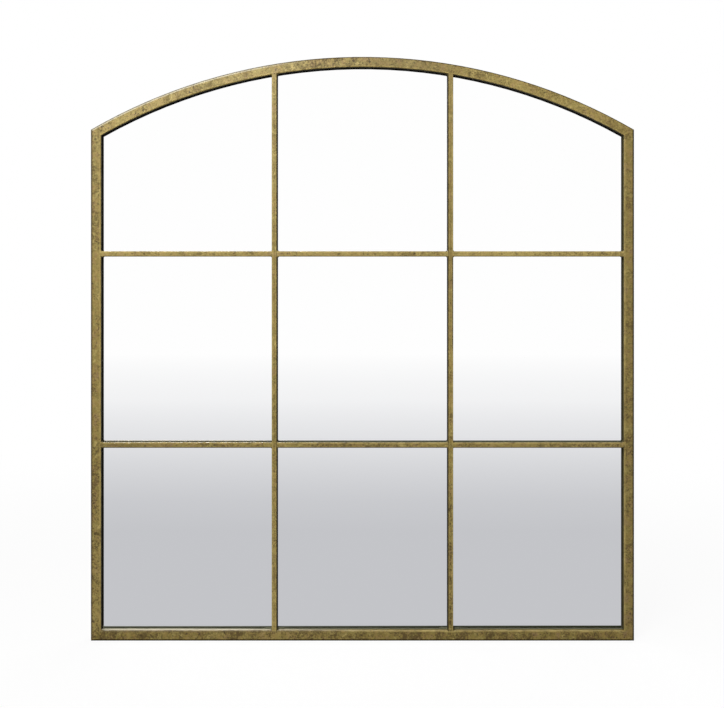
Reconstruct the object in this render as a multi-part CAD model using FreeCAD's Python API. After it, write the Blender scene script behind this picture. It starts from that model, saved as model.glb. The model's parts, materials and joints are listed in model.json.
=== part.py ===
import FreeCAD, Part
import math
import os

from FreeCAD import Vector

# Arched window mirror: a welded tube frame with glazing bars over one sheet of mirror glass.
# Lengths are in millimetres. The front faces -Y, +Z is up, and the wall is the plane y = 0.
# The origin lies on the wall, midway between the keyholes of the two hangers.

# Frame, seen from the front
FRAME_WIDTH = 800.0
FRAME_HEIGHT = 860.0
ARCH_RADIUS = 800.0

# Rectangular tube of the frame
TUBE_FACE = 15.0
TUBE_WALL = 1.5
TUBE_CORNER = 1.6

# Solid glazing bars, flush with the front of the frame
BAR_FACE = 8.0
BAR_DEPTH = 12.0
BAR_EDGE = 1.0
WELD_LEG = 2.5
LOWER_TRANSOM_DROP = 2.3

# Sheets behind the bars, from front to back
CUSHION_THICKNESS = 1.0
GLASS_THICKNESS = 4.0
GLASS_ARRIS = 0.5
GLASS_CLEARANCE = 1.5
BOARD_THICKNESS = 3.0
BOARD_CLEARANCE = 0.5
CUSHION_SETBACK = 3.0
BLOCK_LENGTH = 30.0

# Turn buttons that hold the board in
BUTTON_LAP = 11.0
BUTTON_HEAD_RADIUS = 6.0
BUTTON_TIP_RADIUS = 4.0
BUTTON_THICKNESS = 1.2
BUTTON_PLAY = 0.1
PIVOT_CLEARANCE = 0.08

# Pan head screws of the buttons and hangers
SCREW_RADIUS = 1.5
SCREW_LENGTH = 9.5
SCREW_TIP = 2.0
SCREW_HEAD_RADIUS = 3.0
SCREW_HEAD_HEIGHT = 1.8
SCREW_HEAD_ROUND = 1.2
SCREW_CLEARANCE = 0.04

# Keyhole hanger straps on the stiles
HANGER_DROP = 75.0
HANGER_WIDTH = 14.0
HANGER_THICKNESS = 1.5
HANGER_MARGIN = 8.0
HANGER_RAMP = 4.5
HANGER_TAIL = 14.0
HANGER_BEND = 1.0
HANGER_CORNER = 3.0
WALL_SCREW_ROOM = 4.5
KEYHOLE_RADIUS = 4.5
KEYHOLE_SLOT_RADIUS = 2.25
KEYHOLE_RISE = 10.0

# Rubber bumpers at the foot of the frame
BUMPER_INSET = 45.0
BUMPER_BASE_RADIUS = 6.5
BUMPER_TIP_RADIUS = 5.0
BUMPER_ROUND = 0.8

# Depth levels: the frame is as deep as the stack that it holds, and stands off the wall by the hangers
TUBE_DEPTH = BAR_DEPTH + CUSHION_THICKNESS + GLASS_THICKNESS + BOARD_THICKNESS
STAND_OFF = WALL_SCREW_ROOM + HANGER_THICKNESS
FRAME_BACK = -STAND_OFF
FRAME_FRONT = FRAME_BACK - TUBE_DEPTH
BAR_BACK = FRAME_FRONT + BAR_DEPTH
GLASS_FRONT = BAR_BACK + CUSHION_THICKNESS
BOARD_FRONT = GLASS_FRONT + GLASS_THICKNESS

# Heights: the keyholes hang at z = 0, a set drop below the shoulders of the arch
HALF_WIDTH = FRAME_WIDTH / 2
SHOULDER_RISE = math.sqrt(ARCH_RADIUS**2 - HALF_WIDTH**2)
ARCH_CENTRE = HANGER_DROP - SHOULDER_RISE
CROWN = ARCH_CENTRE + ARCH_RADIUS
FOOT = CROWN - FRAME_HEIGHT

# Opening inside the frame, and the bars that divide it into three equal columns and three rows.
# The rows are equal at the crown, but for the lower transom, which sits a little below its third.
INNER_HALF_WIDTH = HALF_WIDTH - TUBE_FACE
INNER_FOOT = FOOT + TUBE_FACE
PANE_WIDTH = (2 * INNER_HALF_WIDTH - 2 * BAR_FACE) / 3
PANE_HEIGHT = (FRAME_HEIGHT - 2 * TUBE_FACE - 2 * BAR_FACE) / 3
MULLION_X = (PANE_WIDTH + BAR_FACE) / 2
LOWER_TRANSOM_Z = INNER_FOOT + PANE_HEIGHT + BAR_FACE / 2 - LOWER_TRANSOM_DROP
UPPER_TRANSOM_Z = INNER_FOOT + 2 * PANE_HEIGHT + 3 * BAR_FACE / 2

# Tube centre lines, where screws and bumpers sit
STILE_X = HALF_WIDTH - TUBE_FACE / 2
RAIL_Z = FOOT + TUBE_FACE / 2
ARCH_LINE_RADIUS = ARCH_RADIUS - TUBE_FACE / 2

# Overshoot of cutting shapes, and the share of a rounded edge that a coped bar end runs over
OVERSHOOT = 5.0
COPE_SHARE = 0.7

ACROSS = Vector(1, 0, 0)
BACKWARD = Vector(0, 1, 0)
UP = Vector(0, 0, 1)
ARCH_PIVOT = Vector(0, 0, ARCH_CENTRE)


def arch_height(x, inset):
    """Height, at x, of the arch line that runs inset inside the outer edge."""
    return ARCH_CENTRE + math.sqrt((ARCH_RADIUS - inset) ** 2 - x**2)


def rounded_outline(points, radii):
    """Closed flat wire through the points, each corner rounded to its radius."""
    corners = []
    for index, point in enumerate(points):
        before = (points[index - 1] - point).normalize()
        after = (points[(index + 1) % len(points)] - point).normalize()
        half_angle = before.getAngle(after) / 2
        radius = radii[index]
        setback = radius / math.tan(half_angle)
        middle = point + (before + after).normalize() * (radius / math.sin(half_angle) - radius)
        corners.append((point + before * setback, middle, point + after * setback, radius))
    edges = []
    for corner, following in zip(corners, corners[1:] + corners[:1]):
        start, middle, end, radius = corner
        if radius > 0:
            edges.append(Part.Arc(start, middle, end).toShape())
        edges.append(Part.makeLine(end, following[0]))
    return Part.Wire(edges)


def rounded_section(centre, across, width, depth, corner):
    """Rounded rectangular face, its width along across and its depth along Y."""
    half_width = across * (width / 2)
    half_depth = BACKWARD * (depth / 2)
    points = [
        centre + half_width + half_depth,
        centre - half_width + half_depth,
        centre - half_width - half_depth,
        centre + half_width - half_depth,
    ]
    return Part.Face(rounded_outline(points, [corner] * len(points)))


def tube_section(centre, across, shrink):
    """Filled section of the frame tube with its outside moved in by shrink."""
    width = TUBE_FACE - 2 * shrink
    depth = TUBE_DEPTH - 2 * shrink
    return rounded_section(centre, across, width, depth, max(TUBE_CORNER - shrink, TUBE_WALL / 10))


def prism(corners, front, back):
    """Solid over a polygon of (x, z) corners, from the front level to the back level."""
    points = [Vector(x, front, z) for x, z in corners]
    return Part.Face(Part.makePolygon(points + points[:1])).extrude(BACKWARD * (back - front))


def lengthened(start, end):
    """The (x, z) points of a line from start to end, run on past both by the overshoot."""
    length = math.dist(start, end)
    step_x = (end[0] - start[0]) / length * OVERSHOOT
    step_z = (end[1] - start[1]) / length * OVERSHOOT
    return (start[0] - step_x, start[1] - step_z), (end[0] + step_x, end[1] + step_z)


def foot_mitre(side):
    """Mitre line of a lower corner, from outside to inside."""
    return lengthened((side * HALF_WIDTH, FOOT), (side * INNER_HALF_WIDTH, INNER_FOOT))


def shoulder_mitre(side):
    """Mitre line of a shoulder, from outside to inside."""
    outside = (side * HALF_WIDTH, arch_height(HALF_WIDTH, 0))
    inside = (side * INNER_HALF_WIDTH, arch_height(INNER_HALF_WIDTH, TUBE_FACE))
    return lengthened(outside, inside)


def between_mitres(form, corners):
    """A tube form cut to its mitred length."""
    return form.common(prism(corners, FRAME_FRONT - OVERSHOOT, FRAME_BACK + OVERSHOOT))


def stile_form(side, shrink):
    """Filled form of a stile, mitred at both ends."""
    foot_outer, foot_inner = foot_mitre(side)
    head_outer, head_inner = shoulder_mitre(side)
    start = Vector(side * STILE_X, (FRAME_FRONT + FRAME_BACK) / 2, foot_outer[1] - OVERSHOOT)
    length = head_outer[1] - foot_outer[1] + 2 * OVERSHOOT
    form = tube_section(start, ACROSS, shrink).extrude(UP * length)
    return between_mitres(form, [foot_outer, foot_inner, head_inner, head_outer])


def rail_form(shrink):
    """Filled form of the bottom rail, mitred at both ends."""
    left_outer, left_inner = foot_mitre(-1)
    right_outer, right_inner = foot_mitre(1)
    start = Vector(left_outer[0] - OVERSHOOT, (FRAME_FRONT + FRAME_BACK) / 2, RAIL_Z)
    length = right_outer[0] - left_outer[0] + 2 * OVERSHOOT
    form = tube_section(start, UP, shrink).extrude(ACROSS * length)
    return between_mitres(form, [left_outer, right_outer, right_inner, left_inner])


def arch_form(shrink):
    """Filled form of the bent arch rail, mitred at both ends."""
    left_outer, left_inner = shoulder_mitre(-1)
    right_outer, right_inner = shoulder_mitre(1)
    half_sweep = math.degrees(math.atan2(HALF_WIDTH, SHOULDER_RISE) + OVERSHOOT / ARCH_RADIUS)
    crown = Vector(0, (FRAME_FRONT + FRAME_BACK) / 2, CROWN - TUBE_FACE / 2)
    section = tube_section(crown, UP, shrink).rotated(ARCH_PIVOT, BACKWARD, -half_sweep)
    form = section.revolve(ARCH_PIVOT, BACKWARD, 2 * half_sweep)
    top = CROWN + OVERSHOOT
    corners = [left_inner, left_outer, (left_outer[0], top), (right_outer[0], top), right_outer, right_inner]
    return between_mitres(form, corners)


def glazing_bar(start, end, across):
    """Glazing bar between two (x, z) points, with all its long edges eased."""
    middle_depth = (FRAME_FRONT + BAR_BACK) / 2
    first = Vector(start[0], middle_depth, start[1])
    last = Vector(end[0], middle_depth, end[1])
    section = rounded_section(first, across, BAR_FACE, BAR_DEPTH, BAR_EDGE)
    return section.extrude(last - first)


def mullion(side, rail, arch):
    """Upright bar from the bottom rail to the arch, coped over their rounded edges."""
    run_over = COPE_SHARE * TUBE_CORNER
    x = side * MULLION_X
    head = arch_height(MULLION_X - BAR_FACE / 2, TUBE_FACE) + run_over
    return glazing_bar((x, INNER_FOOT - run_over), (x, head), ACROSS).cut(rail).cut(arch)


def transom(height, start, end, neighbours):
    """Length of cross bar between two x places, coped to the pieces at its ends."""
    bar = glazing_bar((start, height), (end, height), UP)
    for neighbour in neighbours:
        bar = bar.cut(neighbour)
    return bar


def transom_lengths(height, left_stile, right_stile, left_mullion, right_mullion):
    """The left, centre and right lengths of one cross bar."""
    outer = INNER_HALF_WIDTH + COPE_SHARE * TUBE_CORNER
    near = MULLION_X - BAR_FACE / 2 + COPE_SHARE * BAR_EDGE
    far = MULLION_X + BAR_FACE / 2 - COPE_SHARE * BAR_EDGE
    return (
        transom(height, -outer, -far, [left_stile, left_mullion]),
        transom(height, -near, near, [left_mullion, right_mullion]),
        transom(height, far, outer, [right_mullion, right_stile]),
    )


def weld(corner, along_one, along_other, edge):
    """Hollow fillet of weld metal in the corner of two pieces whose front edges are rounded to edge."""
    front = FRAME_FRONT + edge
    tip = Vector(corner[0], front, corner[1])
    one_end = tip + along_one * WELD_LEG
    other_end = tip + along_other * WELD_LEG
    hollow = tip + (along_one + along_other) * (WELD_LEG * (1 - math.sqrt(0.5)))
    outline = [
        Part.makeLine(tip, one_end),
        Part.Arc(one_end, hollow, other_end).toShape(),
        Part.makeLine(other_end, tip),
    ]
    return Part.Face(Part.Wire(outline)).extrude(BACKWARD * (BAR_BACK - BAR_EDGE - front))


def crossing_welds():
    """Four fillets at each crossing of a mullion and a transom."""
    welds = []
    for mullion_side in (-1, 1):
        for height in (LOWER_TRANSOM_Z, UPPER_TRANSOM_Z):
            for side in (-1, 1):
                for level in (-1, 1):
                    corner = (mullion_side * MULLION_X + side * BAR_FACE / 2, height + level * BAR_FACE / 2)
                    welds.append(weld(corner, ACROSS * side, UP * level, BAR_EDGE))
    return welds


def bar_end_welds(arch):
    """Two fillets at each end of a bar, on the stiles, the bottom rail and the arch."""
    welds = []
    for end_side in (-1, 1):
        for side in (-1, 1):
            for height in (LOWER_TRANSOM_Z, UPPER_TRANSOM_Z):
                corner = (end_side * INNER_HALF_WIDTH, height + side * BAR_FACE / 2)
                welds.append(weld(corner, ACROSS * -end_side, UP * side, TUBE_CORNER))
            x = end_side * MULLION_X + side * BAR_FACE / 2
            welds.append(weld((x, INNER_FOOT), ACROSS * side, UP, TUBE_CORNER))
            head = Vector(x, 0, arch_height(x, TUBE_FACE))
            tangent = (head - ARCH_PIVOT).cross(BACKWARD).normalize() * -side
            welds.append(weld((head.x, head.z), tangent, -UP, TUBE_CORNER).cut(arch))
    return welds


def arched_sheet(front, thickness, clearance):
    """Flat sheet that fills the frame's opening but for its clearance at the edges."""
    inset = TUBE_FACE + clearance
    half_width = HALF_WIDTH - inset
    foot = FOOT + inset
    shoulder = arch_height(half_width, inset)
    left_foot = Vector(-half_width, front, foot)
    right_foot = Vector(half_width, front, foot)
    left_shoulder = Vector(-half_width, front, shoulder)
    right_shoulder = Vector(half_width, front, shoulder)
    outline = [
        Part.makeLine(left_foot, right_foot),
        Part.makeLine(right_foot, right_shoulder),
        Part.Arc(right_shoulder, Vector(0, front, CROWN - inset), left_shoulder).toShape(),
        Part.makeLine(left_shoulder, left_foot),
    ]
    return Part.Face(Part.Wire(outline)).extrude(BACKWARD * thickness)


def mirror_glass():
    """Sheet of mirror glass with its sharp edges seamed."""
    sheet = arched_sheet(GLASS_FRONT, GLASS_THICKNESS, GLASS_CLEARANCE)
    rim = [edge for edge in sheet.Edges if edge.BoundBox.YLength < GLASS_THICKNESS / 2]
    return sheet.makeChamfer(GLASS_ARRIS, rim)


def cushion(start, end):
    """Strip of foam on the flat back of a bar, between two (x, z) corners."""
    corners = [start, (end[0], start[1]), end, (start[0], end[1])]
    return prism(corners, BAR_BACK, GLASS_FRONT)


def mullion_cushions():
    """One strip down each mullion."""
    half = BAR_FACE / 2 - BAR_EDGE
    foot = INNER_FOOT + CUSHION_SETBACK
    head = arch_height(MULLION_X + half, TUBE_FACE) - CUSHION_SETBACK
    return [cushion((x - half, foot), (x + half, head)) for x in (-MULLION_X, MULLION_X)]


def transom_cushions():
    """One strip along each length of the transoms."""
    half = BAR_FACE / 2 - BAR_EDGE
    near = MULLION_X - BAR_FACE / 2 - CUSHION_SETBACK
    far = MULLION_X + BAR_FACE / 2 + CUSHION_SETBACK
    outer = INNER_HALF_WIDTH - CUSHION_SETBACK
    strips = []
    for height in (LOWER_TRANSOM_Z, UPPER_TRANSOM_Z):
        for start, end in ((-outer, -far), (-near, near), (far, outer)):
            strips.append(cushion((start, height - half), (end, height + half)))
    return strips


def setting_blocks():
    """Blocks on the bottom rail that carry the glass."""
    blocks = []
    for x in (-MULLION_X, MULLION_X):
        left = x - BLOCK_LENGTH / 2
        right = x + BLOCK_LENGTH / 2
        top = INNER_FOOT + GLASS_CLEARANCE
        corners = [(left, INNER_FOOT), (right, INNER_FOOT), (right, top), (left, top)]
        blocks.append(prism(corners, GLASS_FRONT, BOARD_FRONT))
    return blocks


def rod(place, radius, front, back):
    """Round rod along Y at the (x, z) place, between two depth levels."""
    return Part.makeCylinder(radius, back - front, Vector(place[0], front, place[1]), BACKWARD)


def button_places():
    """Name, pivot and inward direction of each turn button: behind the bar ends and under the crown."""
    places = []
    for side, side_name in ((-1, "left"), (1, "right")):
        for height, level in ((LOWER_TRANSOM_Z, "lower"), (UPPER_TRANSOM_Z, "upper")):
            places.append((f"{side_name}_{level}", (side * STILE_X, height), ACROSS * -side))
        places.append((f"foot_{side_name}", (side * MULLION_X, RAIL_Z), UP))
    lean = math.asin(MULLION_X / ARCH_LINE_RADIUS)
    for turn, name in ((-lean, "arch_left"), (0.0, "arch_crown"), (lean, "arch_right")):
        outward = Vector(math.sin(turn), 0, math.cos(turn))
        pivot = ARCH_PIVOT + outward * ARCH_LINE_RADIUS
        places.append((name, (pivot.x, pivot.z), -outward))
    return places


def turn_button(place, inward):
    """Flat catch, round about its screw and tapering to a round tip that laps the board."""
    front = FRAME_BACK + BUTTON_PLAY
    reach = TUBE_FACE / 2 + BOARD_CLEARANCE + BUTTON_LAP
    pivot = Vector(place[0], front, place[1])
    tip = pivot + inward * (reach - BUTTON_TIP_RADIUS)
    sideways = inward.cross(BACKWARD)
    lean = math.acos((BUTTON_HEAD_RADIUS - BUTTON_TIP_RADIUS) / (reach - BUTTON_TIP_RADIUS))
    one_flank = inward * math.cos(lean) + sideways * math.sin(lean)
    other_flank = inward * math.cos(lean) - sideways * math.sin(lean)
    head_points = [pivot + way * BUTTON_HEAD_RADIUS for way in (one_flank, -inward, other_flank)]
    tip_points = [tip + way * BUTTON_TIP_RADIUS for way in (other_flank, inward, one_flank)]
    outline = [
        Part.Arc(*head_points).toShape(),
        Part.makeLine(head_points[2], tip_points[0]),
        Part.Arc(*tip_points).toShape(),
        Part.makeLine(tip_points[2], head_points[0]),
    ]
    blank = Part.Face(Part.Wire(outline)).extrude(BACKWARD * BUTTON_THICKNESS)
    return blank.cut(rod(place, SCREW_RADIUS + PIVOT_CLEARANCE, FRAME_BACK, 0))


def pan_head_screw(place, seat):
    """Screw with its head on the seat level and its shank through the back wall of the tube."""
    head = rod(place, SCREW_HEAD_RADIUS, seat, seat + SCREW_HEAD_HEIGHT)
    rim = [edge for edge in head.Edges if edge.BoundBox.YMin > seat]
    head = head.makeFillet(SCREW_HEAD_ROUND, rim)
    tip = seat - SCREW_LENGTH
    shank = rod(place, SCREW_RADIUS, tip + SCREW_TIP, seat)
    point = Part.makeCone(0, SCREW_RADIUS, SCREW_TIP, Vector(place[0], tip, place[1]), BACKWARD)
    return head.fuse([shank, point]).removeSplitter()


def hanger_levels():
    """Heights of a hanger's bends and ends, from bottom to top, about its keyhole at z = 0."""
    bridge_foot = -KEYHOLE_RADIUS - HANGER_MARGIN
    bridge_head = KEYHOLE_RISE + KEYHOLE_SLOT_RADIUS + HANGER_MARGIN
    ramp_foot = bridge_foot - HANGER_RAMP
    ramp_head = bridge_head + HANGER_RAMP
    return ramp_foot - HANGER_TAIL, ramp_foot, bridge_foot, bridge_head, ramp_head, ramp_head + HANGER_TAIL


def hanger_screw_places(side):
    """Screw places in the middle of a hanger's two flat tails."""
    bottom, ramp_foot, _, _, ramp_head, top = hanger_levels()
    return [(side * STILE_X, (bottom + ramp_foot) / 2), (side * STILE_X, (ramp_head + top) / 2)]


def hanger(side):
    """Strap on the back of a stile, bent out to a bridge with a keyhole for a wall screw."""
    bottom, ramp_foot, bridge_foot, bridge_head, ramp_head, top = hanger_levels()
    shift = HANGER_THICKNESS * math.tan(math.atan2(WALL_SCREW_ROOM, HANGER_RAMP) / 2)
    tail_back = FRAME_BACK + HANGER_THICKNESS
    bridge_front = FRAME_BACK + WALL_SCREW_ROOM
    profile = [
        (FRAME_BACK, bottom),
        (FRAME_BACK, ramp_foot),
        (bridge_front, bridge_foot),
        (bridge_front, bridge_head),
        (FRAME_BACK, ramp_head),
        (FRAME_BACK, top),
        (tail_back, top),
        (tail_back, ramp_head + shift),
        (0, bridge_head + shift),
        (0, bridge_foot - shift),
        (tail_back, ramp_foot - shift),
        (tail_back, bottom),
    ]
    inside = HANGER_BEND
    outside = HANGER_BEND + HANGER_THICKNESS
    radii = [0, outside, inside, inside, outside, 0, 0, inside, outside, outside, inside, 0]
    left = side * STILE_X - HANGER_WIDTH / 2
    right = left + HANGER_WIDTH
    wire = rounded_outline([Vector(left, y, z) for y, z in profile], radii)
    strap = Part.Face(wire).extrude(ACROSS * HANGER_WIDTH)
    plan = [(left, bottom), (right, bottom), (right, top), (left, top)]
    plan_wire = rounded_outline([Vector(x, FRAME_BACK, z) for x, z in plan], [HANGER_CORNER] * len(plan))
    strap = strap.common(Part.Face(plan_wire).extrude(BACKWARD * STAND_OFF))
    strap = strap.cut(keyhole(side))
    for place in hanger_screw_places(side):
        strap = strap.cut(rod(place, SCREW_RADIUS + SCREW_CLEARANCE, FRAME_BACK, tail_back))
    return strap


def keyhole(side):
    """Cutter for a keyhole: a round entry for the screw head and a slot above it for the shank."""
    x = side * STILE_X
    entry = rod((x, 0), KEYHOLE_RADIUS, FRAME_BACK, OVERSHOOT)
    slot_end = rod((x, KEYHOLE_RISE), KEYHOLE_SLOT_RADIUS, FRAME_BACK, OVERSHOOT)
    left = x - KEYHOLE_SLOT_RADIUS
    right = x + KEYHOLE_SLOT_RADIUS
    slot_corners = [(left, 0), (right, 0), (right, KEYHOLE_RISE), (left, KEYHOLE_RISE)]
    slot = prism(slot_corners, FRAME_BACK, OVERSHOOT)
    return entry.fuse([slot, slot_end])


def bumper(side):
    """Tapered rubber foot on the back of the bottom rail, which rests on the wall."""
    base = Vector(side * (HALF_WIDTH - BUMPER_INSET), FRAME_BACK, RAIL_Z)
    cone = Part.makeCone(BUMPER_BASE_RADIUS, BUMPER_TIP_RADIUS, STAND_OFF, base, BACKWARD)
    rim = [edge for edge in cone.Edges if edge.BoundBox.YMin > FRAME_BACK]
    return cone.makeFillet(BUMPER_ROUND, rim)


def drilled_tube(filled, bore, screw_places):
    """Hollow tube with a hole through its back wall at each screw place."""
    tube = filled.cut(bore)
    for place in screw_places:
        wall_front = FRAME_BACK - TUBE_WALL - SCREW_CLEARANCE
        tube = tube.cut(rod(place, SCREW_RADIUS + SCREW_CLEARANCE, wall_front, FRAME_BACK + OVERSHOOT))
    return tube


def save(name, *solids):
    """Write one node: a single solid, or a group of separate ones."""
    shape = solids[0] if len(solids) == 1 else Part.makeCompound(list(solids))
    shape.exportStep(f"parts/{name}.step")


def main():
    """Build every piece and write it out."""
    os.makedirs("parts", exist_ok=True)
    buttons = button_places()
    button_screws = {name: place for name, place, _ in buttons}
    hanger_screws = {side: hanger_screw_places(side) for side in (-1, 1)}

    left_stile = stile_form(-1, 0)
    right_stile = stile_form(1, 0)
    bottom_rail = rail_form(0)
    arch_rail = arch_form(0)
    stile_screws = {
        side: [button_screws[f"{name}_lower"], button_screws[f"{name}_upper"]] + hanger_screws[side]
        for side, name in ((-1, "left"), (1, "right"))
    }
    rail_screws = [button_screws["foot_left"], button_screws["foot_right"]]
    arch_screws = [button_screws["arch_left"], button_screws["arch_crown"], button_screws["arch_right"]]
    save("left_stile", drilled_tube(left_stile, stile_form(-1, TUBE_WALL), stile_screws[-1]))
    save("right_stile", drilled_tube(right_stile, stile_form(1, TUBE_WALL), stile_screws[1]))
    save("bottom_rail", drilled_tube(bottom_rail, rail_form(TUBE_WALL), rail_screws))
    save("arch_rail", drilled_tube(arch_rail, arch_form(TUBE_WALL), arch_screws))

    left_mullion = mullion(-1, bottom_rail, arch_rail)
    right_mullion = mullion(1, bottom_rail, arch_rail)
    save("left_mullion", left_mullion)
    save("right_mullion", right_mullion)
    for height, level in ((LOWER_TRANSOM_Z, "lower"), (UPPER_TRANSOM_Z, "upper")):
        lengths = transom_lengths(height, left_stile, right_stile, left_mullion, right_mullion)
        for length, place in zip(lengths, ("left", "centre", "right")):
            save(f"{level}_transom_{place}", length)
    save("crossing_welds", *crossing_welds())
    save("bar_end_welds", *bar_end_welds(arch_rail))

    save("mullion_cushions", *mullion_cushions())
    save("transom_cushions", *transom_cushions())
    save("setting_blocks", *setting_blocks())
    save("mirror_glass", mirror_glass())
    save("backing_board", arched_sheet(BOARD_FRONT, BOARD_THICKNESS, BOARD_CLEARANCE))

    for name, place, inward in buttons:
        save(f"turn_button_{name}", turn_button(place, inward))
    button_seat = FRAME_BACK + BUTTON_THICKNESS + 2 * BUTTON_PLAY
    save("turn_button_screws", *[pan_head_screw(place, button_seat) for _, place, _ in buttons])

    save("left_hanger", hanger(-1))
    save("right_hanger", hanger(1))
    hanger_seat = FRAME_BACK + HANGER_THICKNESS
    all_hanger_screws = hanger_screws[-1] + hanger_screws[1]
    save("hanger_screws", *[pan_head_screw(place, hanger_seat) for place in all_hanger_screws])
    save("left_bumper", bumper(-1))
    save("right_bumper", bumper(1))


main()
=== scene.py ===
import json
import logging
import math
from collections.abc import Iterable, Mapping, Sequence
from dataclasses import dataclass
from enum import Enum
from typing import ClassVar, NamedTuple

import bmesh
import bpy
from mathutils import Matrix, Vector


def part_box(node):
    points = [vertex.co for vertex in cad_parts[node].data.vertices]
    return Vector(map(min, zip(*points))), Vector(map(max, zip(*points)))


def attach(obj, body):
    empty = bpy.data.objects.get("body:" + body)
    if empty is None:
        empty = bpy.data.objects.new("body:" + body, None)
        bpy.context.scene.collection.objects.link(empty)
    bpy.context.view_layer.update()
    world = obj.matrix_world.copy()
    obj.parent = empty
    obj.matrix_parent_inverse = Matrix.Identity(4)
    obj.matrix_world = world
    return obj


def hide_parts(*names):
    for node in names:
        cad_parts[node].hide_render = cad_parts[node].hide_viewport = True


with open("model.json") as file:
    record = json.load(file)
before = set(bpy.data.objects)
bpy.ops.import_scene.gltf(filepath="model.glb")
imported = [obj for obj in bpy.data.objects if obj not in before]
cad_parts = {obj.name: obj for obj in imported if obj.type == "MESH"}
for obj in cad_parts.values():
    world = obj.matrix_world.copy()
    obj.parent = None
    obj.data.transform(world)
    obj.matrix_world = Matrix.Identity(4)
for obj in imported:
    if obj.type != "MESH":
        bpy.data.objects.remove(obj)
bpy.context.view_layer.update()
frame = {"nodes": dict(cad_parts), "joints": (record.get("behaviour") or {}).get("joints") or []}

# An arched window mirror in antique gold: lengths in metres, the front faces -Y and +Z is up.
MM = 0.001
LOG = logging.getLogger("window_mirror")

Colour = tuple[float, float, float, float]
Pair = tuple[float, float]
Triple = tuple[float, float, float]
Stops = tuple[tuple[float, Colour], ...]
Socket = bpy.types.NodeSocket
Value = Socket | float | str | Sequence[float]

WHITE: Colour = (1.0, 1.0, 1.0, 1.0)
HANGERS = ("left_hanger", "right_hanger")


class Slot(Enum):
    """Material slots of the record."""

    ANTIQUE_GOLD = "antique_gold"
    MIRROR = "mirror"
    BOARD = "board"
    FOAM = "foam"
    RUBBER = "rubber"
    ZINC_STEEL = "zinc_steel"


class Member(Enum):
    """Kinds of frame member, each with its own run of the patina."""

    STILE = "stile"
    BOTTOM_RAIL = "bottom_rail"
    ARCH_RAIL = "arch_rail"
    MULLION = "mullion"
    TRANSOM = "transom"
    WELD = "weld"


class RubberPiece(Enum):
    """Kinds of rubber piece, moulded in different colours."""

    BUMPER = "bumper"
    SETTING_BLOCK = "setting_block"


@dataclass(frozen=True)
class MirrorPlan:
    """Main levels and lines of the mirror that finishes and pieces are set out from."""

    half_width: float
    tube_face: float
    bar_face: float
    arch_radius: float
    arch_centre: float
    foot: float
    front: float
    bar_back: float
    glass_front: float
    glass_back: float
    mullion_x: float
    lower_transom: float
    upper_transom: float

    @classmethod
    def read(cls) -> "MirrorPlan":
        """Reads the plan from the boxes of the CAD nodes.

        Returns:
            The plan.
        """
        _, stile_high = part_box("right_stile")
        rail_low, rail_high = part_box("bottom_rail")
        _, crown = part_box("arch_rail")
        bar_low, bar_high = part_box("right_mullion")
        glass_low, glass_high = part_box("mirror_glass")
        lower_low, lower_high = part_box("lower_transom_centre")
        upper_low, upper_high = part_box("upper_transom_centre")
        rise = crown.z - stile_high.z
        arch_radius = (stile_high.x**2 + rise**2) / (2 * rise)
        return cls(
            half_width=stile_high.x,
            tube_face=rail_high.z - rail_low.z,
            bar_face=bar_high.x - bar_low.x,
            arch_radius=arch_radius,
            arch_centre=crown.z - arch_radius,
            foot=rail_low.z,
            front=rail_low.y,
            bar_back=bar_high.y,
            glass_front=glass_low.y,
            glass_back=glass_high.y,
            mullion_x=(bar_low.x + bar_high.x) / 2,
            lower_transom=(lower_low.z + lower_high.z) / 2,
            upper_transom=(upper_low.z + upper_high.z) / 2,
        )

    @property
    def inner_half_width(self) -> float:
        """Distance from the middle to the inner side of a stile."""
        return self.half_width - self.tube_face

    @property
    def inner_foot(self) -> float:
        """Height of the bottom rail's upper side."""
        return self.foot + self.tube_face

    @property
    def inner_arch_radius(self) -> float:
        """Radius of the arch rail's under side."""
        return self.arch_radius - self.tube_face

    @property
    def transoms(self) -> Pair:
        """Heights of the lower and the upper transom."""
        return self.lower_transom, self.upper_transom

    @property
    def half_bar(self) -> float:
        """Half the width of a bar's face."""
        return self.bar_face / 2

    def arch_under(self, x: float, gap: float = 0.0) -> float:
        """Height of the arch rail's under side at x, or of a curve a gap below it."""
        return self.arch_centre + math.sqrt((self.inner_arch_radius - gap) ** 2 - x**2)


PLAN = MirrorPlan.read()


def screen(red: int, green: int, blue: int) -> Colour:
    """Linear colour of three screen values.

    Args:
        red: Red from 0 to 255.
        green: Green from 0 to 255.
        blue: Blue from 0 to 255.

    Returns:
        The colour as linear red, green, blue and alpha.
    """
    linear = []
    for value in (red, green, blue):
        share = value / 255
        linear.append(share / 12.92 if share <= 0.04045 else ((share + 0.055) / 1.055) ** 2.4)
    return linear[0], linear[1], linear[2], 1.0


class Step(NamedTuple):
    """A smooth step: the values at which it starts and ends, and its results before and after it."""

    start: "Value | Mark"
    end: "Value | Mark"
    low: "Value | Mark" = 0.0
    high: "Value | Mark" = 1.0


class Noise(NamedTuple):
    """Cloudy noise: size of its largest clouds, finer octaves, their share, its swirl, and a step on it."""

    size: float
    detail: float = 4.0
    roughness: float = 0.55
    swirl: float = 0.0
    step: Step | None = None


class Mark(NamedTuple):
    """How far something shows: the product of its steps over x, y, z and depth, and of a noise.

    The depth is the one into a member from its side beside the glass. With a middle, the step over x or z is
    over the distance from it. A step's own numbers may be marks.
    """

    x: Step | None = None
    y: Step | None = None
    z: Step | None = None
    depth: Step | None = None
    middle_x: float | None = None
    middle_z: float | None = None
    noise: Noise | None = None


def depths(start: float, end: float, low: float = 0.0, high: float = 1.0) -> Step:
    """A step between two depths in millimetres."""
    return Step(start * MM, end * MM, low, high)


def behind(start: float, end: float, low: float = 0.0, high: float = 1.0) -> Step:
    """A step in y between two distances behind the front, in millimetres."""
    return Step(PLAN.front + start * MM, PLAN.front + end * MM, low, high)


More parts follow.
